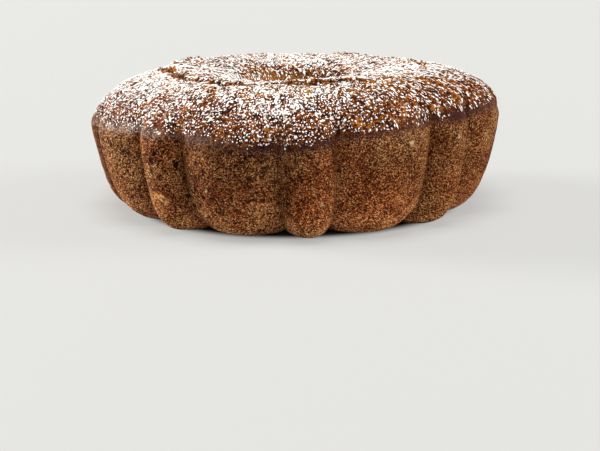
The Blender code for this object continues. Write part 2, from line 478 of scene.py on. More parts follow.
# where the crust's tones lie: round the ring as (angle, half width, amount) in degrees, and along the
# section in metres from the shoulder, or in shares of the way up the wall where the name says so
tones = {
    # dark band under the sugar's edge, taller on the right
    "bandAt": 0.0002, "bandHalf": 0.0036, "bandRight": (44, 20), "bandRightMore": 0.0018,
    "bandLeast": 0.35, "bandPlaces": ((-8, 22, 1), (48, 26, 1), (160, 60, 1)),
    # sugary film on the left, partly a painted sheen, and below it a paleness that is partly dust and partly
    # painted rim light; on two flanks the paleness is painted rim light
    "leftSide": (-66, 28), "filmAt": -0.0002, "filmHalf": 0.0026, "filmLeast": 0.05,
    "dustAndRimRise": (-0.062, -0.014), "dustAndRimLeast": 0.10,
    "flankRise": (-0.058, -0.030), "rimLitFlanks": ((-46.8, 2.8, 1.15), (-71.5, 3, 0.7)),
    # golden lower wall, climbing higher on the right: painted bounce light from the plate, with painted light
    # on two flanks
    "goldenShares": (0.62, 0.18), "goldenRight": (10, 26), "goldenRightMore": 0.2,
    "goldenLeast": 0.55, "goldenMost": 1.2, "goldenPlaces": ((10, 26, 0.55), (-45, 8, 0.22), (33, 8, 0.26)),
    # creases: painted shade, less on those that the light reaches, and darkest at one crease at the side, a
    # painted dark line where one flute hides the next
    "paleCrease": ((18, 34, -0.75),), "openCrease": ((-34, 6, -0.75),), "openCreaseShares": (0.75, 0.45),
    "sideCrease": ((-79.2, 3.6, 1.15),),
    # browner middle of each flute, painted shade on the upper front wall, and painted shade where the cake
    # meets the plate
    "heartShare": 0.56, "heartHalfShare": 0.24, "frontShadeShares": (0.45, 0.80), "frontShadePlace": (-19, 15),
    "frontShadeTop": 0.004, "contactShadeHeight": 0.0021,     # the last in metres above the plate
    # how open the crumb is: more pores on the left, fewer on the right and low on one flank
    "openLeast": 0.66, "openPlaces": ((-34, 30, 0.34), (50, 40, -0.40)),
    "closedPlaces": ((-37, 8, -0.80),), "closedShares": (0.62, 0.42),
    # paler crust up to the crest and at the back, and sugar melted in where the cover is thick
    "crestRise": (0.026, 0.052), "crestFall": (0.084, 0.064), "crestBack": ((180, 75, 0.75),),
    "sugaryCover": (0.18, 0.50),
    # uneven insides as (mean share, size and strength of noise), uneven places as (size, strength)
    "bandPatch": (1.0, 0.016, 0.45), "filmPatch": (0.60, 0.005, 0.9), "dustAndRimPatch": (0.75, 0.012, 0.5),
    "frontShadePatch": (0.8, 0.018, 0.6), "goldenNoise": (0.022, 0.13), "heartNoise": (0.020, 0.10),
    "openNoise": (0.025, 0.30), "wobbleNoise": (0.012, 0.0012),
    # the most of the painted shade on the upper front wall and where the cake meets the plate
    "frontShadeMost": 0.9, "contactShadeMost": 0.9, "closedMost": 0.15,
}


def patchy(points, patch, layers, seed):
    # mean share + noise, kept to 0..1
    mean, size, strength = patch
    return np.clip(mean + uneven(points, (size, strength), layers, seed), 0, 1)


def shoulderMasks(points, past, angles):
    # the dark band and the sugary film, partly a painted sheen, beside the sugar's edge: exp(-(d / half
    # height)^2), patchy
    t = tones
    right = t["bandRightMore"] * angleBump(angles, *t["bandRight"])
    band = np.exp(-((past - t["bandAt"] - right) / (t["bandHalf"] + right)) ** 2)
    band = band * patchy(points, t["bandPatch"], 2, 151)
    here = np.clip(bumpSum(angles, t["bandPlaces"]), 0, 1)
    band = band * (t["bandLeast"] + (1 - t["bandLeast"]) * here)
    left = angleBump(angles, *t["leftSide"])
    filmAndSheen = np.exp(-((past - t["filmAt"]) / t["filmHalf"]) ** 2)
    filmAndSheen = filmAndSheen * (t["filmLeast"] + (1 - t["filmLeast"]) * left)
    return {"band": band, "filmAndSheen": filmAndSheen * patchy(points, t["filmPatch"], 3, 161)}


def wallMasks(points, arc, up, wobble, angles):
    # the wall's tones: each a slope or band along the section, times its places round the ring
    t = tones
    wallStart, wallEnd = marks["wall"]
    wayUp = np.clip((arc - wallStart) / (wallEnd - wallStart), 0, 1)
    onWall = (arc > wallStart) * (arc < wallEnd)
    left = angleBump(angles, *t["leftSide"])
    # paleness on the left: dust and painted rim light; on two flanks painted rim light
    dustAndRimLight = smoothStep(*t["dustAndRimRise"], up + wobble) * (t["dustAndRimLeast"] + (1 - t["dustAndRimLeast"]) * left)
    dustAndRimLight = dustAndRimLight + smoothStep(*t["flankRise"], up) * bumpSum(angles, t["rimLitFlanks"])
    dustAndRimLight = dustAndRimLight * patchy(points, t["dustAndRimPatch"], 3, 181)
    # painted bounce light from the plate on the lower wall, and painted light on two flanks
    top, bottom = t["goldenShares"]
    top = top + t["goldenRightMore"] * angleBump(angles, *t["goldenRight"])
    bounceLight = smoothStep(top, bottom, wayUp + uneven(points, t["goldenNoise"], 2, 171))
    bounceLight = bounceLight * np.clip(bumpSum(angles, t["goldenPlaces"], t["goldenLeast"]), 0, t["goldenMost"])
    # painted shade in the creases
    crease = nearness ** 4 * onWall * smoothStep(1.0, 0.8, wayUp)
    crease = crease * bumpSum(angles, t["paleCrease"], 1.0)
    crease = crease * (1 + bumpSum(angles, t["openCrease"]) * smoothStep(*t["openCreaseShares"], wayUp))
    crease = np.maximum(crease, bumpSum(angles, t["sideCrease"]) * onWall)
    heartAt = wayUp - t["heartShare"] + uneven(points, t["heartNoise"], 2, 187)
    heart = (1 - nearness) * np.exp(-(heartAt / t["heartHalfShare"]) ** 2) * onWall
    # painted shade on the upper front wall
    frontShade = smoothStep(*t["frontShadeShares"], wayUp) * (up < t["frontShadeTop"]) * angleBump(angles, *t["frontShadePlace"])
    frontShade = frontShade * patchy(points, t["frontShadePatch"], 2, 185)
    # painted shade where the cake meets the plate
    under = np.exp(-((points[..., 2] - middle[2]) / t["contactShadeHeight"]) ** 2) * (arc < wallEnd)
    openCrumb = bumpSum(angles, t["openPlaces"], t["openLeast"])
    openCrumb = np.clip(openCrumb + uneven(points, t["openNoise"], 2, 189), t["closedMost"], 1)
    openCrumb = openCrumb * (1 + bumpSum(angles, t["closedPlaces"]) * smoothStep(*t["closedShares"], wayUp))
    return {"dustAndRimLight": dustAndRimLight, "bounceLight": bounceLight * onWall, "crease": crease, "heart": heart,
            "frontShade": frontShade * t["frontShadeMost"], "under": under * t["contactShadeMost"], "openCrumb": openCrumb}


def colourMasks(points, arc, angles):
    # soft fields for the crust's colours, one value for each point of the grid
    t = tones
    up = arc - marks["dome"][0]
    wobble = uneven(points, t["wobbleNoise"], 2, 141)
    fields = shoulderMasks(points, up - sugarEdge(angles) + wobble, angles)
    fields.update(wallMasks(points, arc, up, wobble, angles))
    nearFall = np.maximum(smoothStep(*t["crestFall"], up), bumpSum(angles, t["crestBack"]))
    fields["crest"] = smoothStep(*t["crestRise"], up) * nearFall
    fields["sugary"] = smoothStep(*t["sugaryCover"], sugarCover(arc, angles)) * (arc < marks["tube"][0])
    fields["fruit"] = spotField(points, fruitSpots, 191)
    fields["bit"] = spotField(points, paleBitsAndGlints, 195)
    return fields


def gridFaces(stationCount, angleCount):
    # quads between neighbours, closed both ways, facing outwards
    station, sector = np.meshgrid(np.arange(stationCount), np.arange(angleCount), indexing="ij")
    nextStation = (station + 1) % stationCount
    nextSector = (sector + 1) % angleCount
    corners = (station * angleCount + sector, station * angleCount + nextSector,
               nextStation * angleCount + nextSector, nextStation * angleCount + sector)
    return np.stack(corners, axis=-1).reshape(-1, 4)


def meshFromArrays(name, points, faces):
    # faces is an array of equal-sided polygons, one row each
    mesh = bpy.data.meshes.new(name)
    sides = faces.shape[1]
    mesh.vertices.add(len(points))
    mesh.vertices.foreach_set("co", points.astype(np.float32).ravel())
    mesh.loops.add(faces.size)
    mesh.loops.foreach_set("vertex_index", faces.astype(np.int32).ravel())
    mesh.polygons.add(len(faces))
    mesh.polygons.foreach_set("loop_start", np.arange(0, faces.size, sides, dtype=np.int32))
    mesh.update(calc_edges=True)
    mesh.validate()
    mesh.shade_smooth()
    piece = bpy.data.objects.new(name, mesh)
    bpy.context.scene.collection.objects.link(piece)
    return piece


def addPointValues(piece, name, values):
    # one number for each vertex, for the materials to read by name
    attribute = piece.data.attributes.new(name, "FLOAT", "POINT")
    attribute.data.foreach_set("value", values.astype(np.float32).ravel())


def addBakeMap(piece, stationCount, angleCount):
    # u runs round half the ring, v runs along the section in the lower or upper half of the map,
    # with a narrow margin round each half
    margin = 0.004
    station, sector = np.meshgrid(np.arange(stationCount), np.arange(angleCount), indexing="ij")
    half = sector // (angleCount // 2)
    left = sector - half * (angleCount // 2)
    columns = np.stack([left, left + 1, left + 1, left], axis=-1) / (angleCount // 2)
    rows = np.stack([station, station, station + 1, station + 1], axis=-1) / stationCount
    u = margin + (1 - 2 * margin) * columns
    v = margin + (0.5 - 2 * margin) * rows + 0.5 * half[..., None]
    layer = piece.data.uv_layers.new(name="OFBake")
    layer.uv.foreach_set("vector", np.stack([u, v], axis=-1).astype(np.float32).ravel())


def newMaterial(name):
    material = bpy.data.materials.new(name)
    material.use_nodes = True
    return material, material.node_tree, material.node_tree.nodes["Principled BSDF"]


def addNode(tree, kind, inputs=None, **settings):
    # one node, its inputs linked where an output is given and set where a number is
    node = tree.nodes.new("ShaderNode" + kind)
    for key, value in settings.items():
        setattr(node, key, value)
    for key, value in (inputs or {}).items():
        if isinstance(value, bpy.types.NodeSocket):
            tree.links.new(value, node.inputs[key])
        else:
            node.inputs[key].default_value = value
    return node


def blend(tree, share, under, over, mode="MIX"):
    # colour mix of under and over by share; sockets 6 and 7 are the Mix node's two colours
    inputs = {0: share}
    for socket, value in ((6, under), (7, over)):
        inputs[socket] = value if isinstance(value, bpy.types.NodeSocket) else (*value, 1)
    return addNode(tree, "Mix", inputs, data_type="RGBA", blend_type=mode).outputs[2]


def ramp(tree, fac, stops):
    # colour ramp through (place, colour) stops
    node = addNode(tree, "ValToRGB", {"Fac": fac})
    elements = node.color_ramp.elements
    for place, colour in stops[2:]:
        elements.new(place)
    for element, (place, colour) in zip(elements, stops):
        element.position = place
        element.color = (*colour, 1)
    return node.outputs["Color"]


def window(tree, value, low, high, start=0.0, end=1.0):
    # value mapped from low..high to start..end, smooth at both ends
    node = addNode(tree, "MapRange", {"Value": value, "From Min": low, "From Max": high,
                                      "To Min": start, "To Max": end}, interpolation_type="SMOOTHSTEP")
    return node.outputs["Result"]


def arithmetic(tree, operation, first, second):
    return addNode(tree, "Math", {0: first, 1: second}, operation=operation).outputs[0]


def addBump(tree, shader, height, strength, distance):
    bump = addNode(tree, "Bump", {"Height": height, "Strength": strength, "Distance": distance})
    tree.links.new(bump.outputs["Normal"], shader.inputs["Normal"])


def swing(tree, value, size):
    # (value - 0.5) * size
    return arithmetic(tree, "MULTIPLY", arithmetic(tree, "SUBTRACT", value, 0.5), size)


def fineNoise(tree, coords, scale, detail, roughness=0.5):
    # noise with `scale` features for each metre, detail layers deep
    return addNode(tree, "TexNoise", {"Vector": coords, "Scale": scale, "Detail": detail,
                                      "Roughness": roughness}).outputs["Fac"]


def cells(tree, coords, scale):
    # distance from the middle of the Voronoi cell, and the three random numbers of that cell
    cell = addNode(tree, "TexVoronoi", {"Vector": coords, "Scale": scale})
    own = addNode(tree, "SeparateColor", {"Color": cell.outputs["Color"]}).outputs
    return cell.outputs["Distance"], own


crustLook = {
    # ramps as (place, colour) stops over the crumb's tone, or over the ragged noise on fruit
    "wallRamp": ((0.325, (0.008, 0.0011, 0.0002)), (0.43, (0.060, 0.0100, 0.0015)),
                 (0.515, (0.158, 0.043, 0.0125)), (0.595, (0.308, 0.118, 0.037)), (0.70, (0.66, 0.39, 0.17))),
    "domeRamp": ((0.36, (0.008, 0.0008, 0.0001)), (0.46, (0.042, 0.0054, 0.0003)),
                 (0.56, (0.122, 0.0265, 0.0022)), (0.69, (0.390, 0.130, 0.015))),
    "tubeRamp": ((0.34, (0.12, 0.036, 0.007)), (0.50, (0.31, 0.122, 0.030)), (0.66, (0.50, 0.25, 0.085))),
    # the moist fruit's cream stop is partly a painted glint
    "fruitRamp": ((0.38, (0.20, 0.045, 0.005)), (0.47, (0.62, 0.20, 0.022)), (0.58, (0.92, 0.58, 0.23))),
    # tints multiply what is under them, colours cover it
    "redTint": (1.05, 0.90, 0.83), "heartTint": (0.98, 0.81, 0.71), "tanTint": (1.00, 1.05, 1.05),
    # on the next line, a golden tint of painted bounce light from the plate, a pale tint of dust and painted
    # rim light, and a dark tint of painted shade on the upper front wall
    "bounceLightTint": (2.14, 2.33, 2.52), "dustAndRimLightTint": (1.34, 1.55, 1.70), "frontShadeTint": (0.66, 0.62, 0.62),
    "sugaryTint": (0.92, 0.83, 0.70), "crestTint": (1.42, 1.90, 1.40),
    # painted shade in the crease, foot and pore colours: in the creases, where the cake meets the plate, and
    # inside pores and pits; the pale-bit colour also paints glints on the fruit
    "speckColour": (0.52, 0.36, 0.15), "creaseShadeColour": (0.028, 0.007, 0.002),
    "contactShadeColour": (0.012, 0.003, 0.001), "bitColour": (0.76, 0.56, 0.30),
    "poreShadeColour": (0.011, 0.0014, 0.0003),
    # the film colour is a sugary film, partly a painted sheen
    "bandColour": (0.030, 0.0072, 0.0062), "filmAndSheenColour": (0.70, 0.57, 0.48), "lumpColour": (0.40, 0.13, 0.02),
    # the crack colour is painted shade in the crack's groove and in the torn crumb's crevices
    "crackShadeColour": (0.020, 0.004, 0.001), "tornColour": (0.42, 0.14, 0.024),
    # share of what is under it that each one hides at its fullest
    "coverage": {"speckColour": 0.7, "creaseShadeColour": 0.6, "bitColour": 0.85, "poreShadeColour": 0.96,
                 "tubeRamp": 0.85, "fruitRamp": 0.9},
    # noise as (features for each metre, layers, roughness), and how far noise swings tone and roughness
    "grain": (1500.0, 3.0, 0.62), "blotch": (75.0, 3.0, 0.6), "wide": (24.0, 2.0),
    "blotchSwing": 0.25, "crumbSwing": 0.24, "roughSwing": 0.25,
    # scales in features for each metre, and how far the fray moves the outlines, in metres
    "crumbScale": 1650.0, "speckScale": 620.0, "frayScale": 420.0, "fray": 0.0028,
    # the dome's tone: shares of grain, ragged noise and blotch, and what is taken off their sum
    "domeTone": (0.75, 0.75, 0.40, 0.43),
    # windows as (from, to) of what they read, then the values given there where these aren't 0 and 1
    "redWindow": (0.40, 0.62), "speckPick": (0.85, 0.90), "speckRim": (0.42, 0.18),
    "lumpWindow": (0.45, 0.75), "lumpRagged": (0.40, 0.56, 0.15, 0.85), "tornRagged": (0.37, 0.54),
    "tornWindow": (0.15, 0.7), "bandGrain": (0.95, 0.40), "filmTone": (0.46, 0.56, 0.0, 0.9),
    # round holes: (scale, which of the cell's numbers picks it, window of that number, of the distance)
    "pores": ((430.0, 1, (0.60, 0.50), (0.44, 0.30)), (165.0, 2, (0.50, 0.42), (0.30, 0.24))),
    "wallRoughness": 0.86, "domeRoughness": 0.62, "bandGloss": 0.22, "fruitGloss": 0.45, "specular": 0.04,
    "bumpStrength": 0.75, "bumpDistance": 0.0009, "poreDepth": 0.9, "blotchHeight": 0.8,
}


def covered(tree, share, under, colour):
    # the colour laid over what is under it, where the mask says so, as far as its coverage allows
    coverage = crustLook["coverage"][colour]
    return blend(tree, arithmetic(tree, "MULTIPLY", share, coverage), under, crustLook[colour])


def tinted(tree, share, under, tint):
    return blend(tree, share, under, crustLook[tint], "MULTIPLY")


def crumbPores(tree, coords, mask):
    # noise for frayed outlines, and the painted shade inside the frayed round pores and the modelled pits
    look = crustLook
    fray = addNode(tree, "TexNoise", {"Vector": coords, "Scale": look["frayScale"], "Detail": 2.0})
    frayed = addNode(tree, "VectorMath", {0: fray.outputs["Color"], 1: (look["fray"],) * 3, 2: coords},
                     operation="MULTIPLY_ADD").outputs["Vector"]
    shadedPores = mask["pit"]
    for scale, which, pickWindow, rimWindow in look["pores"]:
        distance, own = cells(tree, frayed, scale)
        poreOn = arithmetic(tree, "MULTIPLY", window(tree, own[which], *pickWindow),
                            window(tree, distance, *rimWindow))
        shadedPores = arithmetic(tree, "MAXIMUM", shadedPores, poreOn)
    return fray.outputs["Fac"], arithmetic(tree, "MULTIPLY", shadedPores, mask["openCrumb"])


def wallColour(tree, coords, mask, tone, crumbOwn, shadedPores):
    # grainy brown crumb with pale specks, tinted by height and side, with painted bounce light low down, dust
    # and painted rim light on the left and painted shade on the upper front; painted shade in creases, pores
    # and where it meets the plate
    look = crustLook
    wall = ramp(tree, tone, look["wallRamp"])
    wide = fineNoise(tree, coords, *look["wide"])
    wall = tinted(tree, window(tree, wide, *look["redWindow"]), wall, "redTint")
    wall = tinted(tree, mask["heart"], wall, "heartTint")
    wall = tinted(tree, crumbOwn[1], wall, "tanTint")
    # painted bounce light from the plate on the lower wall
    wall = tinted(tree, mask["bounceLight"], wall, "bounceLightTint")
    distance, speckOwn = cells(tree, coords, look["speckScale"])
    speckOn = arithmetic(tree, "MULTIPLY", window(tree, speckOwn[0], *look["speckPick"]),
                         window(tree, distance, *look["speckRim"]))
    wall = covered(tree, speckOn, wall, "speckColour")
    # painted shade in the creases
    wall = covered(tree, mask["crease"], wall, "creaseShadeColour")
    # dust and painted rim light on the left
    wall = tinted(tree, mask["dustAndRimLight"], wall, "dustAndRimLightTint")
    # painted shade on the upper front wall
    wall = tinted(tree, mask["frontShade"], wall, "frontShadeTint")
    # painted shade where the cake meets the plate
    wall = blend(tree, mask["under"], wall, look["contactShadeColour"])
    # pale crumbs, and painted glints on the fruit
    wall = covered(tree, mask["bit"], wall, "bitColour")
    # painted shade inside pores and pits
    return covered(tree, shadedPores, wall, "poreShadeColour")


def domeColour(tree, mask, grain, blotch, ragged):
    # orange-brown crust over lumps of fruit, and torn crumb along the crack, with painted shade in its
    # crevices
    look = crustLook
    grainShare, raggedShare, blotchShare, darker = look["domeTone"]
    tone = arithmetic(tree, "ADD", arithmetic(tree, "MULTIPLY", grain, grainShare),
                      arithmetic(tree, "MULTIPLY", ragged, raggedShare))
    tone = arithmetic(tree, "ADD", tone, arithmetic(tree, "MULTIPLY", blotch, blotchShare))
    dome = ramp(tree, arithmetic(tree, "SUBTRACT", tone, darker), look["domeRamp"])
    dome = tinted(tree, mask["sugary"], dome, "sugaryTint")
    dome = tinted(tree, mask["crest"], dome, "crestTint")
    lumpOn = arithmetic(tree, "MULTIPLY", window(tree, mask["lump"], *look["lumpWindow"]),
                        window(tree, ragged, *look["lumpRagged"]))
    dome = blend(tree, lumpOn, dome, look["lumpColour"])
    # the torn crumb's crevices take the crack's painted shade
    torn = blend(tree, window(tree, ragged, *look["tornRagged"]), look["crackShadeColour"], look["tornColour"])
    return blend(tree, window(tree, mask["torn"], *look["tornWindow"]), dome, torn)


def bakedCrustMaterial():
    # wall, dome and tube colours laid together by the piece's own masks, then fruit, band, film with its
    # painted sheen, and the painted shade in the crack
    look = crustLook
    material, tree, shader = newMaterial("bakedCrust")
    coords = addNode(tree, "TexCoord").outputs["Object"]
    mask = {key: addNode(tree, "Attribute", attribute_name=key).outputs["Fac"] for key in masks}
    grain = fineNoise(tree, coords, *look["grain"])
    blotch = fineNoise(tree, coords, *look["blotch"])
    crumbOwn = cells(tree, coords, look["crumbScale"])[1]
    tone = arithmetic(tree, "ADD", grain, swing(tree, blotch, look["blotchSwing"]))
    tone = arithmetic(tree, "ADD", tone, swing(tree, crumbOwn[0], look["crumbSwing"]))
    ragged, shadedPores = crumbPores(tree, coords, mask)

    wall = wallColour(tree, coords, mask, tone, crumbOwn, shadedPores)
    colour = blend(tree, mask["onDome"], wall, domeColour(tree, mask, grain, blotch, ragged))
    tubeOn = arithmetic(tree, "MULTIPLY", mask["inTube"], look["coverage"]["tubeRamp"])
    colour = blend(tree, tubeOn, colour, ramp(tree, tone, look["tubeRamp"]))
    fruitOn = arithmetic(tree, "MULTIPLY", mask["fruit"], look["coverage"]["fruitRamp"])
    colour = blend(tree, fruitOn, colour, ramp(tree, ragged, look["fruitRamp"]))
    bandOn = arithmetic(tree, "MULTIPLY", mask["band"], window(tree, grain, *look["bandGrain"]))
    colour = blend(tree, bandOn, colour, look["bandColour"])
    # sugary film, partly a painted sheen
    filmAndSheenOn = arithmetic(tree, "MULTIPLY", mask["filmAndSheen"], window(tree, tone, *look["filmTone"]))
    colour = blend(tree, filmAndSheenOn, colour, look["filmAndSheenColour"])
    # painted shade in the crack's groove
    colour = blend(tree, mask["crack"], colour, look["crackShadeColour"])
    tree.links.new(colour, shader.inputs["Base Color"])

    # crumb is dull, the dome and its dark band are sticky and a little glossy
    rough = window(tree, mask["onDome"], 0.0, 1.0, look["wallRoughness"], look["domeRoughness"])
    for key, gloss in (("band", look["bandGloss"]), ("fruit", look["fruitGloss"])):
        rough = arithmetic(tree, "SUBTRACT", rough, arithmetic(tree, "MULTIPLY", mask[key], gloss))
    rough = arithmetic(tree, "ADD", rough, swing(tree, grain, look["roughSwing"]))
    tree.links.new(rough, shader.inputs["Roughness"])
    shader.inputs["Specular IOR Level"].default_value = look["specular"]

    height = arithmetic(tree, "SUBTRACT", grain, arithmetic(tree, "MULTIPLY", shadedPores, look["poreDepth"]))
    height = arithmetic(tree, "ADD", height, arithmetic(tree, "MULTIPLY", blotch, look["blotchHeight"]))
    addBump(tree, shader, height, look["bumpStrength"], look["bumpDistance"])
    return material


sugarLook = {
    "powderScale": 1100.0, "powderSwing": 0.8, "roughness": 0.95, "specular": 0.2,
    "ramp": ((0.04, (0.50, 0.30, 0.095)), (0.20, (0.86, 0.78, 0.59)), (0.36, (0.985, 0.98, 0.97))),
}


def icingSugarMaterial():
    # dull white powder, with the crust showing through where a fleck thins out at its rim
    material, tree, shader = newMaterial("icingSugar")
    coords = addNode(tree, "TexCoord").outputs["Object"]
    thick = addNode(tree, "Attribute", attribute_name="thick").outputs["Fac"]
    grains = swing(tree, fineNoise(tree, coords, sugarLook["powderScale"], 2.0), sugarLook["powderSwing"])
    colour = ramp(tree, arithmetic(tree, "ADD", thick, grains), sugarLook["ramp"])
    tree.links.new(colour, shader.inputs["Base Color"])
    shader.inputs["Roughness"].default_value = sugarLook["roughness"]
    shader.inputs["Specular IOR Level"].default_value = sugarLook["specular"]
    return material


print("stage: crumb and crust")
dice = np.random.default_rng(47)
stations, arcs, marks = fineSection()
angles, nearness, slimness = fluteAngles()
arcGrid = arcs[:, None] + 0 * angles
angleGrid = angles + 0 * arcGrid
smoothGrid = ringGrid(stations, angles, nearness, slimness)
reliefHeight, masks = crustRelief(smoothGrid, arcGrid)
masks.update(colourMasks(smoothGrid, arcGrid, angleGrid))
cakeGrid = smoothGrid + gridNormals(smoothGrid) * reliefHeight[..., None]
cakeGrid[..., 2] = np.maximum(cakeGrid[..., 2], boxLow.z)
cakeNormals = gridNormals(cakeGrid)
print("  grid", cakeGrid.shape, "triangles", 2 * arcGrid.size)

cake = meshFromArrays("crumbAndCrust", cakeGrid.reshape(-1, 3), gridFaces(*cakeGrid.shape[:2]))
for key, values in masks.items():
    addPointValues(cake, key, values.ravel())
addBakeMap(cake, *cakeGrid.shape[:2])
cake.data.materials.append(bakedCrustMaterial())
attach(cake, "root")
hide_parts(cakeNode)


sugarKinds = {
    # lattice is (along, around) spacing, size is (width, length, height), all in metres
    "sugarDrifts": {"lattice": (0.0025, 0.00150), "size": (0.00126, 0.00262, 0.00024), "sides": 5,
                    "chance": 2.04, "reach": 0.0},
    "sugarFlecks": {"lattice": (0.0017, 0.00115), "size": (0.00088, 0.00168, 0.00020), "sides": 4,
                    "chance": 0.62, "reach": 0.0},
    "sugarDust": {"lattice": (0.0018, 0.0013), "size": (0.00048, 0.00072, 0.00014), "sides": 3,
                  "chance": 0.85, "reach": 0.0030},
}

fleck = {
    # the lattice: jitter as a share of its step, and how far it reaches past the dome, in metres
    "jitter": 0.36, "belowEdge": 0.004, "intoTube": 0.026,
    # clumps as (size, strength) of noise, drawn out towards this radius
    "clumps": ((0.0030, 0.9), (0.0085, 0.9)), "clumpRadius": 0.085,
    # past this climb in metres, and on this side, flecks are slender and lie along the slope;
    # on the steep edge there are more of them, and they are smaller, rounder and askew
    "slope": (0.006, 0.036), "drawnSide": (62, 34),
    "steepMore": 0.74, "chanceMost": 1.1, "clumping": 0.55, "inCrack": 0.9, "inTorn": 0.55,
    # growth is the mean and spread of the logarithm of a fleck's size
    "growth": (-0.08, 0.38), "growthLimits": (0.40, 1.9), "coverGrowth": (0.82, 0.45), "steepSmaller": 0.16,
    "length": (0.65, 1.4), "drawnLonger": 0.18, "steepShorter": 0.42,
    "askew": 0.95, "slenderStraighter": 0.53, "askewMost": 1.5, "rimTurn": 0.3,   # radians
    "drawnStraighter": 0.45, "rimReach": (0.55, 1.45), "peakHeight": (0.5, 1.3), "peakShift": 0.2,
    "rimSunk": 0.00007,                                                           # metres
}


def surfaceAt(arc, angle):
    # point, normal, uphill and around directions of the crust, bilinear between the grid's points
    row = np.interp(arc, arcs, np.arange(len(arcs)))
    turned = (angle - angles[0]) % tau
    column = np.interp(turned, np.append(angles, angles[0] + tau) - angles[0], np.arange(len(angles) + 1))
    i = np.clip(np.floor(row).astype(int), 0, len(arcs) - 2)
    j = np.floor(column).astype(int) % len(angles)
    k = (j + 1) % len(angles)
    a = (row - i)[:, None]
    b = (column - np.floor(column))[:, None]

    def between(grid):
        here = grid[i, j] * (1 - a) + grid[i + 1, j] * a
        beside = grid[i, k] * (1 - a) + grid[i + 1, k] * a
        return here * (1 - b) + beside * b

    point = between(cakeGrid)
    normal = between(cakeNormals)
    normal /= np.linalg.norm(normal, axis=1, keepdims=True)
    uphill = smoothGrid[i + 1, j] - smoothGrid[i, j]
    uphill -= normal * np.sum(uphill * normal, axis=1, keepdims=True)
    uphill /= np.linalg.norm(uphill, axis=1, keepdims=True)
    return point, normal, uphill, np.cross(normal, uphill)


def latticeSpots(along, around):
    # a jittered lattice over dome, lip and the upper tube, with rows along apart and spots around apart
    rows = np.arange(marks["dome"][0] - fleck["belowEdge"], marks["tube"][0] + fleck["intoTube"], along)
    radius = np.interp(rows, arcs, stations[0])
    counts = np.round(tau * radius / around).astype(int)
    row = np.repeat(rows, counts)
    stagger = np.repeat(np.arange(len(rows)) % 2 * 0.5, counts)
    order = np.arange(counts.sum()) - np.repeat(np.cumsum(counts) - counts, counts)
    jitter = fleck["jitter"]
    angle = (order + stagger + dice.uniform(-jitter, jitter, len(row))) / np.repeat(counts, counts) * tau
    return row + dice.uniform(-jitter, jitter, len(row)) * along, angle


def fallField(arc, angle):
    # clumping of the sugar: soft noise drawn out to twice its length along the slope, about -1..1
    radius = np.interp(arc, arcs, stations[0])
    drawn = fleck["clumpRadius"] + (radius - fleck["clumpRadius"]) * 0.5
    spots = np.stack([drawn * np.sin(angle), -drawn * np.cos(angle), arc * 0.5], axis=-1)
    small, large = fleck["clumps"]
    return uneven(spots, small, 1, 201) + uneven(spots, large, 1, 211)


def crackShade(arc, angle):
    # how much of the crack and its torn crumb is at scattered spots, from the grid's next point
    i = np.clip(np.searchsorted(arcs, arc), 0, len(arcs) - 1)
    j = np.searchsorted(angles - angles[0], (angle - angles[0]) % tau) % len(angles)
    return np.clip(masks["crack"][i, j] + fleck["inTorn"] * masks["torn"][i, j], 0, 1)


def fleckShapes(frames, grow, drawn, flat, size, sides):
    # each fleck: `sides` rim points at uneven distances just under the crust, and one peak off centre
    f = fleck
    point, normal, uphill, across = frames
    count = len(point)
    width, length, height = size
    slender = np.maximum(flat, drawn)
    stretchy = dice.uniform(*f["length"], count) * (1 + f["drawnLonger"] * drawn)
    stretchy = stretchy * (1 - f["steepShorter"] * (1 - slender))
    turn = dice.normal(0, 1, count) * (f["askew"] - f["slenderStraighter"] * slender)
    turn = np.clip(turn, -f["askewMost"], f["askewMost"]) * (1 - f["drawnStraighter"] * drawn)
    longWay = uphill * np.cos(turn)[:, None] + across * np.sin(turn)[:, None]
    wideWay = np.cross(normal, longWay)
    rimAngle = np.arange(sides) / sides * tau + dice.uniform(-f["rimTurn"], f["rimTurn"], (count, sides))
    rimReach = dice.uniform(*f["rimReach"], (count, sides)) * grow[:, None] * 0.5
    rimLong = np.cos(rimAngle) * rimReach * length * stretchy[:, None]
    rim = point[:, None] + longWay[:, None] * rimLong[..., None]
    rim = rim + wideWay[:, None] * (np.sin(rimAngle) * rimReach * width)[..., None]
    rim = rim - normal[:, None] * f["rimSunk"]
    tall = height * dice.uniform(*f["peakHeight"], count)
    shift = dice.uniform(-f["peakShift"], f["peakShift"], count) * length
    peak = point + normal * tall[:, None] + longWay * shift[:, None]
    points = np.concatenate([rim, peak[:, None]], axis=1)
    edge = np.arange(sides)
    upper = np.stack([edge, (edge + 1) % sides, np.full(sides, sides)], axis=-1)
    lower = np.stack([np.zeros(sides - 2, int), edge[2:], edge[1:-1]], axis=-1)
    one = np.concatenate([upper, lower])
    faces = (one[None] + (np.arange(count) * (sides + 1))[:, None, None]).reshape(-1, 3)
    thick = np.tile(np.arange(sides + 1) == sides, count)      # 1 at the peak, 0 round the rim
    return points.reshape(-1, 3), faces, thick


def addPlanMap(piece, points, faces):
    # the piece seen from above, fitted to the map
    low, high = points[:, :2].min(axis=0), points[:, :2].max(axis=0)
    uv = (points[:, :2] - low) / (high - low)
    layer = piece.data.uv_layers.new(name="OFBake")
    layer.uv.foreach_set("vector", uv[faces.ravel()].astype(np.float32).ravel())


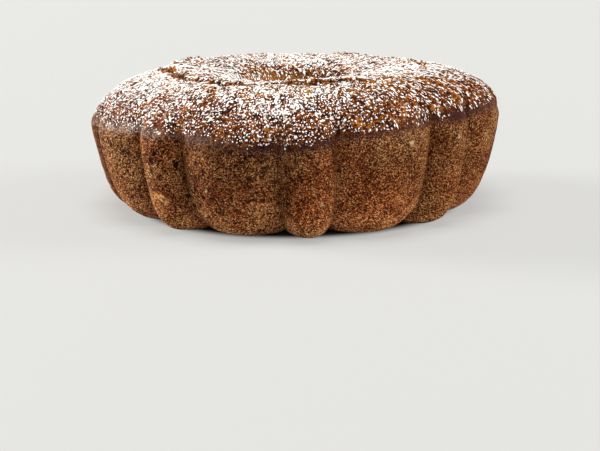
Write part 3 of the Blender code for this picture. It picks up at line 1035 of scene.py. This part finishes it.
def makeSugar(name, kind, material):
    # flecks on the lattice's spots, kept by a chance of cover * strength * (1 + clumping)
    f = fleck
    arc, angle = latticeSpots(*kind["lattice"])
    cover = sugarCover(arc + kind["reach"], angle)
    cover = cover * (1 - f["inCrack"] * crackShade(arc, angle))
    flat = smoothStep(*f["slope"], arc - marks["dome"][0])
    drawn = angleBump(angle, *f["drawnSide"])
    chance = cover * kind["chance"] * (1 + f["steepMore"] * (1 - np.maximum(flat, drawn)))
    chance = np.clip(chance, 0, f["chanceMost"]) * (1 + f["clumping"] * fallField(arc, angle))
    kept = dice.uniform(0, 1, len(arc)) < chance
    arc, angle, cover, flat, drawn = arc[kept], angle[kept], cover[kept], flat[kept], drawn[kept]
    grow = np.clip(np.exp(dice.normal(*f["growth"], len(arc))), *f["growthLimits"])
    grow = grow * (f["coverGrowth"][0] + f["coverGrowth"][1] * cover)
    grow = grow * (1 - f["steepSmaller"] * (1 - np.maximum(flat, drawn)))
    points, faces, thick = fleckShapes(surfaceAt(arc, angle), grow, drawn, flat, kind["size"], kind["sides"])
    sugar = meshFromArrays(name, points, faces)
    addPointValues(sugar, "thick", thick)
    addPlanMap(sugar, points, faces)
    sugar.data.materials.append(material)
    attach(sugar, "root")
    print("  ", name, "flecks", len(arc), "triangles", len(faces))


crumbs = {
    "count": 340, "size": (0.0004, 0.0009), "stretch": (0.7, 1.3), "uneven": (0.8, 1.2), "proud": 0.0002,
    "grooveMost": 0.6,                          # none where the groove is darker than this
    "ramp": ((0.34, (0.050, 0.009, 0.0012)), (0.50, (0.22, 0.062, 0.009)), (0.66, (0.50, 0.19, 0.04))),
    "grain": (700.0, 3.0), "roughness": 0.8, "specular": 0.15, "bumpStrength": 0.6, "bumpDistance": 0.0006,
}


def makeTornCrumbs(material):
    # uneven icosahedra, stretched and turned at random, where the crust is torn beside the groove
    count = crumbs["count"]
    weight = (masks["torn"] * (masks["crack"] < crumbs["grooveMost"])).ravel() ** 1.5
    picks = dice.choice(weight.size, count, replace=False, p=weight / weight.sum())
    centre = cakeGrid.reshape(-1, 3)[picks] + cakeNormals.reshape(-1, 3)[picks] * crumbs["proud"]
    # the 12 corners (+-1, +-gold, 0) and their turns, brought to about 1 from the middle, and the 20
    # faces: the triples of corners that all lie an edge apart
    gold = (1 + 5 ** 0.5) / 2
    corners = np.array([(a, b * gold, 0) for a in (-1, 1) for b in (-1, 1)])
    corners = np.concatenate([corners, np.roll(corners, 1, axis=1), np.roll(corners, 2, axis=1)]) / 1.9
    triples = np.array([(i, j, k) for i in range(12) for j in range(i + 1, 12) for k in range(j + 1, 12)])
    sides = corners[triples] - corners[np.roll(triples, 1, axis=1)]
    faces = triples[np.linalg.norm(sides, axis=-1).max(axis=1) < 1.2]
    inward = np.linalg.det(corners[faces]) < 0
    faces[inward] = faces[inward][:, ::-1]
    size = dice.uniform(*crumbs["size"], (count, 1, 1)) * dice.uniform(*crumbs["stretch"], (count, 1, 3))
    turns, _ = np.linalg.qr(dice.normal(0, 1, (count, 3, 3)))
    turns[np.linalg.det(turns) < 0] *= -1
    rough = corners[None] * dice.uniform(*crumbs["uneven"], (count, 12, 1)) * size
    points = centre[:, None] + np.einsum("nij,nkj->nki", turns, rough)
    allFaces = (faces[None] + (np.arange(count) * 12)[:, None, None]).reshape(-1, 3)
    piece = meshFromArrays("tornCrumbs", points.reshape(-1, 3), allFaces)
    addPlanMap(piece, points.reshape(-1, 3), allFaces)
    piece.data.materials.append(material)
    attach(piece, "root")
    print("  tornCrumbs", count, "triangles", len(allFaces))


def tornCrumbMaterial():
    # orange-brown inner crumb, lighter where it caught the heat less
    material, tree, shader = newMaterial("tornCrumb")
    coords = addNode(tree, "TexCoord").outputs["Object"]
    grain = fineNoise(tree, coords, *crumbs["grain"])
    tree.links.new(ramp(tree, grain, crumbs["ramp"]), shader.inputs["Base Color"])
    shader.inputs["Roughness"].default_value = crumbs["roughness"]
    shader.inputs["Specular IOR Level"].default_value = crumbs["specular"]
    addBump(tree, shader, grain, crumbs["bumpStrength"], crumbs["bumpDistance"])
    return material


print("stage: torn crumbs")
makeTornCrumbs(tornCrumbMaterial())
print("stage: icing sugar")
powder = icingSugarMaterial()
for kindName, kind in sugarKinds.items():
    makeSugar(kindName, kind, powder)


studio = {
    "floorRadius": 4.0, "floorColour": (0.175, 0.175, 0.170), "floorDrop": 0.0002, "floorRoughness": 0.9,
    # the cloth glows a little, a painted light for cloth lit from all sides, but not under the cake and close
    # round its foot, which leaves a painted contact shadow there
    "floorGlow": 0.418, "glowColour": (1.0, 0.995, 0.97), "glowStart": (0.088, 0.100),
    "worldColour": (0.98, 0.99, 1.0), "worldStrength": 0.25,
    # suns: (azimuth from the camera's side towards +X, elevation, width of the soft source, strength)
    "topLight": (0, 80, 34, 3.16), "frontLight": (5, 36, 44, 0.30),
    "leftLight": (-110, 11, 24, 5.6), "rightLight": (90, 20, 32, 2.4),
    "lightColour": (1.0, 0.995, 0.98),
}

# metres and degrees, with the lens and the sensor in millimetres
view = {
    "distance": 0.86376, "height": 0.18923, "pitch": 13.34, "roll": 0.85, "yaw": 0.09,
    "lens": 86.30, "sensor": 36, "nearest": 0.05, "farthest": 20,
}


def makeFloor():
    # disc of the given radius just under the plane the cake rests on
    bpy.ops.mesh.primitive_circle_add(vertices=96, radius=studio["floorRadius"], fill_type="NGON",
                                      location=(middle[0], middle[1], boxLow.z - studio["floorDrop"]))
    floor = bpy.context.object
    floor.name = "paleFloor"
    material, tree, shader = newMaterial("paleCloth")
    shader.inputs["Base Color"].default_value = (*studio["floorColour"], 1)
    shader.inputs["Roughness"].default_value = studio["floorRoughness"]
    coords = addNode(tree, "TexCoord").outputs["Object"]
    reach = addNode(tree, "VectorMath", {0: coords}, operation="LENGTH").outputs["Value"]
    # the painted glow starts just past the foot, leaving a painted contact shadow
    tree.links.new(window(tree, reach, *studio["glowStart"], 0.0, studio["floorGlow"]),
                   shader.inputs["Emission Strength"])
    shader.inputs["Emission Color"].default_value = (*studio["glowColour"], 1)
    floor.data.materials.append(material)


def makeLight(name, azimuth, elevation, width, power):
    # a sun as wide as a soft box, so that it lights the whole floor evenly; angles in degrees
    data = bpy.data.lights.new(name, "SUN")
    data.angle = radians(width)
    data.energy = power
    data.color = studio["lightColour"]
    light = bpy.data.objects.new(name, data)
    side, up = radians(azimuth), radians(elevation)
    towards = Vector((np.sin(side) * np.cos(up), -np.cos(side) * np.cos(up), np.sin(up)))
    light.location = towards * 2
    light.rotation_euler = towards.to_track_quat("Z", "Y").to_euler()
    bpy.context.scene.collection.objects.link(light)


def makeWorld():
    world = bpy.data.worlds.new("softStudio")
    bpy.context.scene.world = world
    world.use_nodes = True
    background = world.node_tree.nodes["Background"]
    background.inputs["Color"].default_value = (*studio["worldColour"], 1)
    background.inputs["Strength"].default_value = studio["worldStrength"]


def makeCamera():
    # in front of the cake at the view's distance and height, turned by yaw, then pitch, then roll
    data = bpy.data.cameras.new("camera")
    data.lens = view["lens"]
    data.sensor_width = view["sensor"]
    data.clip_start = view["nearest"]
    data.clip_end = view["farthest"]
    camera = bpy.data.objects.new("camera", data)
    turn = Matrix.Rotation(radians(-view["yaw"]), 4, "Z")
    tilt = Matrix.Rotation(radians(90 - view["pitch"]), 4, "X")
    lean = Matrix.Rotation(radians(-view["roll"]), 4, "Z")
    place = Matrix.Translation((middle[0], middle[1] - view["distance"], boxLow.z + view["height"]))
    camera.matrix_world = place @ turn @ tilt @ lean
    bpy.context.scene.collection.objects.link(camera)
    bpy.context.scene.camera = camera


print("stage: studio")
makeFloor()
makeWorld()
for lightName in ("topLight", "frontLight", "leftLight", "rightLight"):
    makeLight(lightName, *studio[lightName])
makeCamera()
bpy.context.scene.view_settings.view_transform = "Standard"
